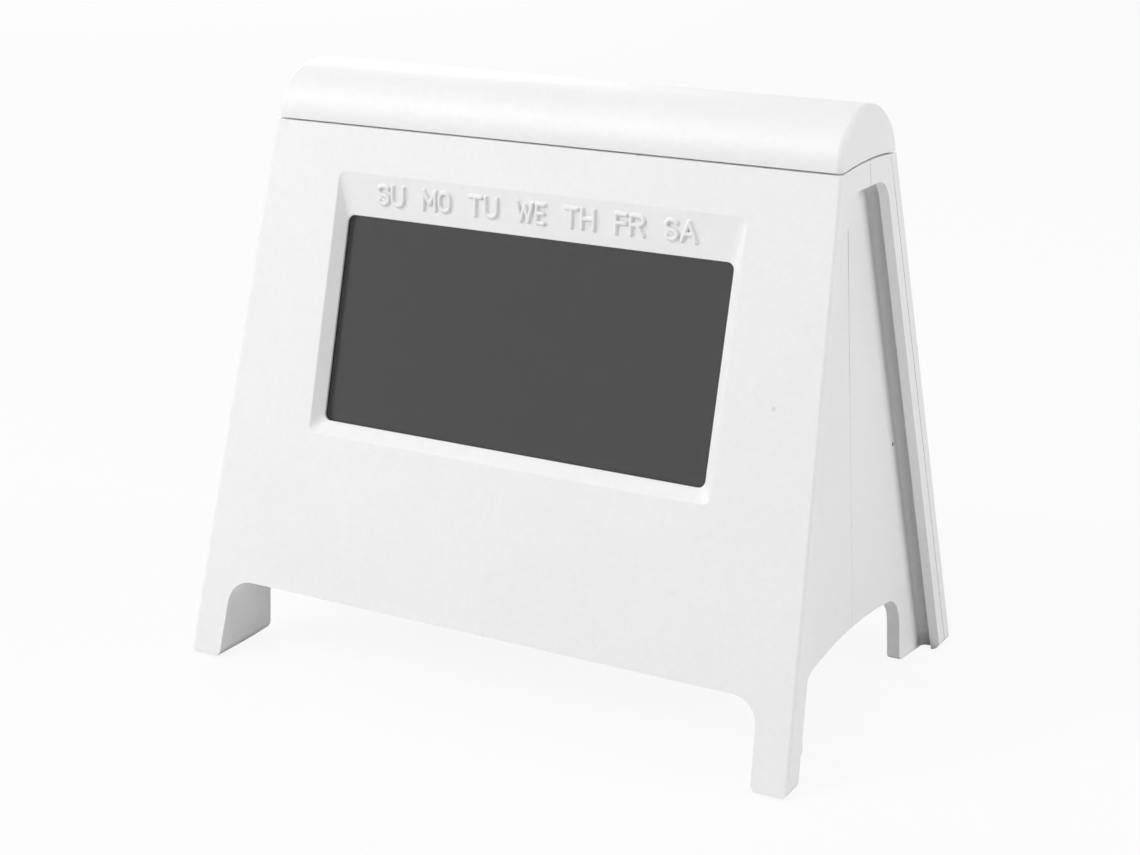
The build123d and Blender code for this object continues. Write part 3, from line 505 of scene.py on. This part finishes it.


# The casing takes the strongest painted shade in its grooves and creases
casing_white = moulded(
    "casing_white", (0.875, 0.875, 0.875), (0.835, 0.835, 0.835), (0.4, 0.52), depth=0.00008,
    shade_share=casing_shade_share, specks=casing_specks,
)
bar_white = moulded("bar_white", (0.88, 0.88, 0.88), (0.84, 0.84, 0.84), (0.4, 0.52), depth=0.00008)
button_grey = moulded("button_grey", (0.7, 0.7, 0.69), (0.67, 0.67, 0.66), (0.4, 0.55), 2400.0)
knob_grey = moulded("knob_grey", (0.62, 0.62, 0.62), (0.58, 0.58, 0.58), (0.35, 0.5), 2400.0)
holder_white = moulded("holder_white", (0.72, 0.72, 0.7), (0.68, 0.68, 0.66), (0.45, 0.6), 2000.0, 0.00005)
switch_black = moulded("switch_black", (0.03, 0.03, 0.03), (0.045, 0.045, 0.045), (0.4, 0.6))
sounder_black = moulded("sounder_black", (0.025, 0.025, 0.026), (0.04, 0.04, 0.04), (0.3, 0.5))
red_sleeve = moulded("red_sleeve", (0.5, 0.02, 0.018), (0.42, 0.015, 0.015), (0.35, 0.5), 5000.0)
black_sleeve = moulded("black_sleeve", (0.015, 0.015, 0.016), (0.03, 0.03, 0.03), (0.35, 0.5), 5000.0)
screw_steel = metal("screw_steel", (0.62, 0.62, 0.64), (0.5, 0.5, 0.52), (0.22, 0.4), (2500.0,) * 3)
spring_steel = metal("spring_steel", (0.66, 0.66, 0.68), (0.55, 0.55, 0.57), (0.18, 0.34), (900.0,) * 3)
contact_nickel = metal("contact_nickel", (0.7, 0.68, 0.63), (0.6, 0.58, 0.53), (0.2, 0.38))
can_steel = metal("can_steel", (0.68, 0.68, 0.69), (0.56, 0.56, 0.58), (0.16, 0.3), drawn_scales[::-1])
ribbon_grey = striped(
    "ribbon_grey", (0.5, 0.5, 0.52), (0.62, 0.62, 0.63),
    pitch=0.00127, share=0.6, gloss=(0.4, 0.55), height=0.0002,
)
zebra_layers = striped(
    "zebra_layers", (0.3, 0.3, 0.31), (0.015, 0.015, 0.016),
    pitch=0.0002, share=0.5, gloss=(0.6, 0.75), height=0.00001,
)
upper_sleeve = cell_sleeve("upper_sleeve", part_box("upper_cell")[0].x, 1.0)
lower_sleeve = cell_sleeve("lower_sleeve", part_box("lower_cell")[1].x, -1.0)

finishes = {
    casing_white: ("front_shell", "rear_shell", "back_cover", "battery_door"),
    bar_white: ("snooze_bar",),
    display_dark(): ("lcd_panel",),
    holder_white: ("lcd_holder", "battery_tray"),
    zebra_layers: ("zebra_strip",),
    circuit_board(): ("main_board", "snooze_board", "key_board"),
    resin_drop(): ("clock_chip",),
    can_steel: ("quartz_crystal",),
    switch_black: ("snooze_switch", "key_switches", "alarm_switch"),
    sounder_black: ("buzzer",),
    ribbon_grey: ("snooze_cable", "key_cable"),
    button_grey: ("mode_button", "set_button", "up_button", "down_button"),
    knob_grey: ("alarm_knob",),
    upper_sleeve: ("upper_cell",),
    lower_sleeve: ("lower_cell",),
    contact_nickel: ("battery_plates",),
    red_sleeve: ("plus_lead",),
    black_sleeve: ("minus_lead",),
    screw_steel: (
        "bar_screws", "board_screws", "snooze_board_screws",
        "key_board_screws", "shell_screws", "cover_screws",
    ),
}
for material, names in finishes.items():
    for name in names:
        nodes[name].data.materials.clear()
        nodes[name].data.materials.append(material)


# New pieces


def new_piece(name, points, faces, material, body):
    """Mesh piece at the origin that rides on a body and takes the given material. Its grids are shaded
    smooth, and the faces that close them are flat."""
    mesh = bpy.data.meshes.new(name)
    mesh.from_pydata(points.tolist(), [], faces)
    mesh.polygons.foreach_set("use_smooth", [len(face) == 4 for face in faces])
    mesh.materials.append(material)
    piece = bpy.data.objects.new(name, mesh)
    bpy.context.scene.collection.objects.link(piece)
    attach(piece, body)
    return piece


def grid_faces(rows, columns, wrap=False):
    """Four-sided faces between neighbouring points of a grid, row after row."""
    steps = columns if wrap else columns - 1
    row, column = np.meshgrid(np.arange(rows - 1) * columns, np.arange(steps), indexing="ij")
    after = (column + 1) % columns
    corners = (row + column, row + after, row + columns + after, row + columns + column)
    return np.stack(corners, axis=-1).reshape(-1, 4).tolist()


def arc(middle, radii, start, end):
    """Points of an elliptical arc in a letter's unit box, between two angles in degrees."""
    turn = np.radians(np.linspace(start, end, arc_points))
    across = middle[0] + radii[0] * np.cos(turn)
    up = middle[1] + radii[1] * np.sin(turn)
    return np.stack([across, up], axis=-1).tolist()


# Centre lines of each letter in a unit box, and its width as a share of its height
letters = {
    "A": (0.84, [[(0, 0), (0.5, 1), (1, 0)], [(0.19, 0.36), (0.81, 0.36)]]),
    "D": (0.72, [[(0.5, 0), (0, 0), (0, 1), (0.5, 1), *arc((0.5, 0.5), (0.5, 0.5), 90, -90)]]),
    "E": (0.56, [[(1, 0), (0, 0), (0, 1), (1, 1)], [(0, 0.52), (0.9, 0.52)]]),
    "F": (0.68, [[(0, 0), (0, 1), (1, 1)], [(0, 0.52), (0.9, 0.52)]]),
    "H": (0.76, [[(0, 0), (0, 1)], [(1, 0), (1, 1)], [(0, 0.52), (1, 0.52)]]),
    "L": (0.6, [[(0, 1), (0, 0), (1, 0)]]),
    "M": (0.8, [[(0, 0), (0, 1), (0.5, 0.3), (1, 1), (1, 0)]]),
    "N": (0.74, [[(0, 0), (0, 1), (1, 0), (1, 1)]]),
    "O": (0.7, [
        [*arc((0.5, 0.68), (0.5, 0.32), 180, 0), *arc((0.5, 0.32), (0.5, 0.32), 0, -180), (0, 0.68)],
    ]),
    "P": (0.68, [[(0, 0), (0, 1), (0.55, 1), *arc((0.55, 0.75), (0.45, 0.25), 90, -90), (0, 0.5)]]),
    "R": (0.78, [
        [(0, 0), (0, 1), (0.55, 1), *arc((0.55, 0.76), (0.45, 0.24), 90, -90), (0, 0.52)],
        [(0.5, 0.52), (1, 0)],
    ]),
    "S": (0.7, [[*arc((0.5, 0.75), (0.5, 0.25), 25, 270), *arc((0.5, 0.25), (0.5, 0.25), 90, -155)]]),
    "T": (0.78, [[(0, 1), (1, 1)], [(0.5, 1), (0.5, 0)]]),
    "U": (0.76, [[(0, 1), (0, 0.32), *arc((0.5, 0.32), (0.5, 0.32), 180, 360), (1, 1)]]),
    "W": (0.95, [[(0, 1), (0.25, 0), (0.5, 0.85), (0.75, 0), (1, 1)]]),
    "arrow": (0.62, [[(0.5, 1), (0.5, 0)], [(0, 0.42), (0.5, 0), (1, 0.42)]]),
}


def word_lines(signs, cap, stroke):
    """Centre lines of a row of signs about the row's middle: each unit box is scaled to its sign's width and
    height less the stroke, and the boxes stand side by side with a small gap."""
    gap = letter_gap_share * cap
    widths = [letters[sign][0] * cap for sign in signs]
    left = -(sum(widths) + gap * (len(signs) - 1)) / 2
    lines = []
    for sign, width in zip(signs, widths):
        room = (width - stroke, cap - stroke)
        corner = (left + stroke / 2, (stroke - cap) / 2)
        lines += [np.array(line) * room + corner for line in letters[sign][1]]
        left += width + gap
    return lines


def line_distance(points, lines):
    """Distance of points from the nearest centre line: each point is dropped square on every straight
    stretch, held between the stretch's ends, and the shortest drop counts."""
    starts = np.concatenate([line[:-1] for line in lines])
    runs = np.concatenate([np.diff(line, axis=0) for line in lines])
    lengths = np.maximum((runs**2).sum(axis=1), shortest_stretch**2)
    away = points[:, None, :] - starts
    share = np.clip((away * runs).sum(axis=2) / lengths, 0.0, 1.0)
    return np.sqrt(((away - share[..., None] * runs) ** 2).sum(axis=2)).min(axis=1)


def raised_slab(lines, stroke, relief, place):
    """Slab whose top is a height over a grid: full relief along the centre lines, falling in a smooth S-curve
    to the sunken base at the stroke's edge. One flat face closes the base."""
    flat = np.concatenate(lines)
    step = mark_grid_share * stroke
    margin = mark_margin_strokes * stroke
    across = np.arange(flat[:, 0].min() - margin, flat[:, 0].max() + margin, step)
    up = np.arange(flat[:, 1].min() - margin, flat[:, 1].max() + margin, step)
    order = np.arange(len(up) * len(across)).reshape(len(up), len(across))
    across, up = (grid.ravel() for grid in np.meshgrid(across, up))
    core = mark_core_share * stroke / 2
    away = line_distance(np.stack([across, up], axis=-1), lines)
    fall = np.clip((away - core) / (stroke - core), 0.0, 1.0)
    height = (relief + mark_sink) * (1.0 - fall**2 * (3.0 - 2.0 * fall)) - mark_sink
    rim = np.concatenate([order[:, 0], order[-1, 1:], order[-2::-1, -1], order[0, -2:0:-1]])
    return place(across, up, height), grid_faces(*order.shape), rim.tolist()


def raised_marks(name, slabs, body):
    """One piece from several raised slabs, in the casing's plastic."""
    points, faces, first = [], [], 0
    for slab_points, slab_faces, rim in slabs:
        points.append(slab_points)
        faces += [[corner + first for corner in face] for face in slab_faces]
        faces.append([corner + first for corner in rim])
        first += len(slab_points)
    new_piece(name, np.concatenate(points), faces, casing_white, body)


lens_low, lens_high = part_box("display_lens")
lens_across, lens_up = board_middle(front, "display_lens")
lens_rise = (lens_high.z - lens_low.z - lens_thickness * math.sin(board_tilt)) / math.cos(board_tilt)
window_top = lens_up + lens_rise / 2 - lens_margin


def on_brow(across, up, proud):
    """Points on the brow: up its slope from the window's top edge it comes forward to the board's face."""
    slope = math.atan2(brow_depth, brow_height)
    rise = window_top + up * math.cos(slope) - proud * math.sin(slope)
    forward = up * math.sin(slope) + proud * math.cos(slope) - brow_depth
    return on_board(front, across, rise, forward)


def weekday_marks():
    """Seven weekday marks in a row, each pair of letters on its own slab."""
    lift = weekday_rise + weekday_cap / 2
    slabs = []
    for step, word in enumerate(weekdays):
        shift = weekday_shift + (step - (len(weekdays) - 1) / 2) * weekday_pitch
        lines = word_lines(word, weekday_cap, weekday_stroke)
        slabs.append(raised_slab(
            lines, weekday_stroke, weekday_relief,
            lambda across, up, proud, shift=shift: on_brow(across + shift, up + lift, proud),
        ))
    raised_marks("weekday_marks", slabs, "casing")


def back_slab(signs, across, up, cap=label_cap, stroke=label_stroke):
    """Raised signs on the rear board about a place on it."""
    return raised_slab(
        word_lines(signs, cap, stroke), stroke, label_relief,
        lambda a, u, proud: on_board(rear, a + across, u + up, proud),
    )


def back_marks():
    """Names above the rear controls, on and off beside the alarm knob, and an arrow on the battery door."""
    slabs = []
    for name in ("mode", "set", "up", "down"):
        across, up = board_middle(rear, f"{name}_button")
        slabs.append(back_slab(name.upper(), across, up + label_rise))
    across, up = board_middle(rear, "alarm_switch")
    slabs.append(back_slab("ALARM", across, up + label_rise))
    slabs.append(back_slab("OFF", across - switch_label_spread, up - switch_label_drop))
    slabs.append(back_slab("ON", across + switch_label_spread, up - switch_label_drop))
    raised_marks("control_marks", slabs, "casing")
    across, up = board_middle(rear, "battery_door")
    raised_marks("door_arrow", [back_slab(["arrow"], across, up, arrow_cap, arrow_stroke)], "battery_door")


def window_pane():
    """Window with softened edges: a rounded rectangle carried through a profile that swings in at the front
    and back edges, closed by two flat faces. It clears the display behind it by a hair."""
    quarter = np.radians(np.linspace(0.0, 90.0, lens_round_points))
    inset = lens_edge_round * (1.0 - np.concatenate([np.sin(quarter), np.cos(quarter)]))
    back = lens_back_gap - lens_thickness
    low_edge = back + lens_edge_round * (1.0 - np.cos(quarter))
    high_edge = -lens_edge_round * (1.0 - np.sin(quarter))
    proud = np.concatenate([low_edge, high_edge]) - lens_depth
    turn = (np.radians([[0.0], [90.0], [180.0], [270.0]]) + quarter).ravel()
    corner_across = np.repeat([1, -1, -1, 1], lens_round_points) * (lens_high.x - lens_corner_round)
    corner_up = np.repeat([1, 1, -1, -1], lens_round_points) * (lens_rise / 2 - lens_corner_round)
    radius = lens_corner_round - inset[:, None]
    across = lens_across + corner_across + radius * np.cos(turn)
    up = lens_up + corner_up + radius * np.sin(turn)
    points = on_board(front, across, up, proud[:, None]).reshape(-1, 3)
    last = len(points)
    ring = len(turn)
    faces = grid_faces(len(proud), ring, wrap=True)
    faces += [list(range(ring - 1, -1, -1)), list(range(last - ring, last))]
    pane = new_piece("window_pane", points, faces, window_clear(), "casing")
    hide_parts("display_lens")


def coil(start, axis, radius, length, turns):
    """Points and faces of a coil spring: a round wire carried along a helix about an axis, with its end turns
    lying close. The wire's ring is set out along the helix's radius and the direction square to both that
    radius and the wire's run."""
    axis = np.array(axis, dtype=float)
    side = np.roll(axis, 1)
    other = np.cross(axis, side)
    count = np.linspace(0.0, turns, int(turns * turn_points))
    close = end_turns * 2 * wire_radius
    low, high = wire_radius, length - wire_radius
    marks = [0.0, end_turns, turns - end_turns, turns]
    rise = np.interp(count, marks, [low, low + close, high - close, high])
    angle = 2 * math.pi * count[:, None]
    out = np.cos(angle) * side + np.sin(angle) * other
    line = np.array(start) + rise[:, None] * axis + radius * out
    run = np.gradient(line, axis=0)
    run /= np.linalg.norm(run, axis=1, keepdims=True)
    across = np.cross(run, out)
    ring = np.linspace(0.0, 2 * math.pi, wire_points, endpoint=False)[None, :, None]
    points = line[:, None] + wire_radius * (np.cos(ring) * out[:, None] + np.sin(ring) * across[:, None])
    last = len(line) * wire_points
    faces = grid_faces(len(line), wire_points, wrap=True)
    faces += [list(range(wire_points - 1, -1, -1)), list(range(last - wire_points, last))]
    return points.reshape(-1, 3), faces


def paired_coils(name, coils, body, node):
    """Two coils as one piece that stands for a CAD node."""
    (points, faces), (more_points, more_faces) = coils
    faces += [[corner + len(points) for corner in face] for face in more_faces]
    points = np.concatenate([points, more_points])
    piece = new_piece(name, points, faces, spring_steel, body)
    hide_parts(node)
    return piece


def bar_coils():
    """Return springs under the press bar, at the length of the CAD springs they stand for."""
    low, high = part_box("bar_springs")
    reach = high.x - wire_radius - bar_spring_radius
    length = high.z - low.z
    starts = [(-reach, 0.0, low.z), (reach, 0.0, low.z)]
    coils = [coil(start, (0, 0, 1), bar_spring_radius, length, bar_spring_turns) for start in starts]
    piece = paired_coils("bar_coils", coils, "casing", "bar_springs")
    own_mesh(piece)


def cell_coils():
    """Springs at the flat ends of the two cells."""
    low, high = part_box("battery_springs")
    coils = []
    for cell, towards in (("upper_cell", 1), ("lower_cell", -1)):
        cell_low, cell_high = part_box(cell)
        middle = (cell_low + cell_high) / 2
        plate_x = high.x if towards > 0 else low.x
        length = plate_x - cell_high.x if towards > 0 else cell_low.x - plate_x
        start = (plate_x, middle.y, middle.z)
        coils.append(coil(start, (-towards, 0, 0), cell_spring_radius, length, cell_spring_turns))
    paired_coils("cell_coils", coils, "casing", "battery_springs")


def joint_tongues():
    """Tongue behind the fine joint line in each side wall: an ellipse carried straight up the wall, level
    with its face at the foot and slightly deeper towards the top. The wall's line is the front shell's
    furthest reach square to the wall, along the lower half of the joint."""
    square = np.array([math.cos(end_taper), 0.0, math.sin(end_taper)])
    points = node_points("front_shell")
    joint = points[np.abs(points[:, 1] + joint_half_gap) < same_plane]
    reach = (joint[joint[:, 2] < joint_middle] @ square).max()
    edge = joint[np.abs(joint @ square - reach) < same_line, 2]
    rise = np.array([edge.min(), edge.max()])[:, None]
    ring = np.linspace(0.0, 2 * math.pi, wire_points, endpoint=False)
    y = tongue_half_width * np.sin(ring) + 0.0 * rise
    depth = np.array([joint_foot_depth, joint_top_depth])[:, None]
    x = (reach - rise * math.sin(end_taper)) / math.cos(end_taper) - depth
    x = x - tongue_half_depth + tongue_half_depth * np.cos(ring)
    faces = grid_faces(len(rise), wire_points, wrap=True)
    faces += [list(range(wire_points - 1, -1, -1)), list(range(wire_points, 2 * wire_points))]
    for name, side in (("right_tongue", 1), ("left_tongue", -1)):
        points = np.stack([side * x, side * y, rise + 0.0 * y], axis=-1).reshape(-1, 3)
        new_piece(name, points, faces, casing_white, "casing")


weekday_marks()
back_marks()
window_pane()
joint_tongues()
bar_coils()
cell_coils()


# Setting, light and camera


def seen_share(tree, share):
    """Share that only rays from the camera, mirrors and glass get, as a socket."""
    path = add_node(tree, "LightPath").outputs
    seen = calculate(tree, "MAXIMUM", path["Is Camera Ray"], path["Is Glossy Ray"])
    seen = calculate(tree, "MAXIMUM", seen, path["Is Transmission Ray"])
    return calculate(tree, "MULTIPLY", seen, share)


def mixed_output(tree, share, first, second, kind):
    """Output of a material or world that mixes two shaders by a share."""
    mix = add_node(tree, "MixShader")
    for socket, value in zip(mix.inputs, (share, first.outputs[0], second.outputs[0])):
        tree.links.new(value, socket)
    out = add_node(tree, kind)
    tree.links.new(mix.outputs[0], out.inputs["Surface"])


def table():
    """Plain pale table: a flat square whose white shows to the camera and whose shade stays."""
    mesh = bpy.data.meshes.new("table")
    corners = np.array([(-1, -1, 0), (1, -1, 0), (1, 1, 0), (-1, 1, 0)]) * table_reach
    mesh.from_pydata(corners.tolist(), [], [(0, 1, 2, 3)])
    floor = bpy.data.objects.new("table", mesh)
    bpy.context.scene.collection.objects.link(floor)
    material, tree, _ = new_material("table_white")
    tree.nodes.clear()
    matte = add_node(tree, "BsdfDiffuse", Color=table_grey)
    plain = add_node(tree, "Emission", Color=white)
    mixed_output(tree, seen_share(tree, table_white_share), matte, plain, "OutputMaterial")
    mesh.materials.append(material)


def surroundings():
    """Even pale surroundings: white where the camera sees them, softer as light."""
    world = bpy.data.worlds.new("surroundings")
    bpy.context.scene.world = world
    world.use_nodes = True
    tree = world.node_tree
    tree.nodes.clear()
    soft = add_node(tree, "Background", Color=white, Strength=daylight_level)
    plain = add_node(tree, "Background", Color=white)
    mixed_output(tree, seen_share(tree, 1.0), soft, plain, "OutputWorld")


def area_lamp(name, place, size, watts):
    """Soft square lamp at a place, turned towards the clock."""
    lamp = bpy.data.lights.new(name, "AREA")
    lamp.shape = "SQUARE"
    lamp.size = size
    lamp.energy = watts
    holder = bpy.data.objects.new(name, lamp)
    bpy.context.scene.collection.objects.link(holder)
    holder.location = place
    aim = np.array(lamp_target) - np.array(place)
    heading = math.atan2(aim[0], -aim[1])
    pitch = math.atan2(math.hypot(aim[0], aim[1]), -aim[2])
    holder.rotation_euler = (pitch, 0.0, math.pi + heading)


def photo_camera():
    """Camera at the photograph's viewing angle."""
    lens = bpy.data.cameras.new("camera")
    lens.lens = camera_focal_mm
    lens.sensor_width = camera_sensor_mm
    lens.sensor_fit = "HORIZONTAL"
    lens.clip_start = camera_near
    camera = bpy.data.objects.new("camera", lens)
    camera.location = camera_place
    camera.rotation_euler = (camera_pitch, 0.0, camera_heading)
    bpy.context.scene.collection.objects.link(camera)
    bpy.context.scene.camera = camera


table()
surroundings()
for name, (place, size, watts) in lamps.items():
    area_lamp(name, place, size, watts)
photo_camera()
bpy.context.scene.view_settings.view_transform = "Standard"
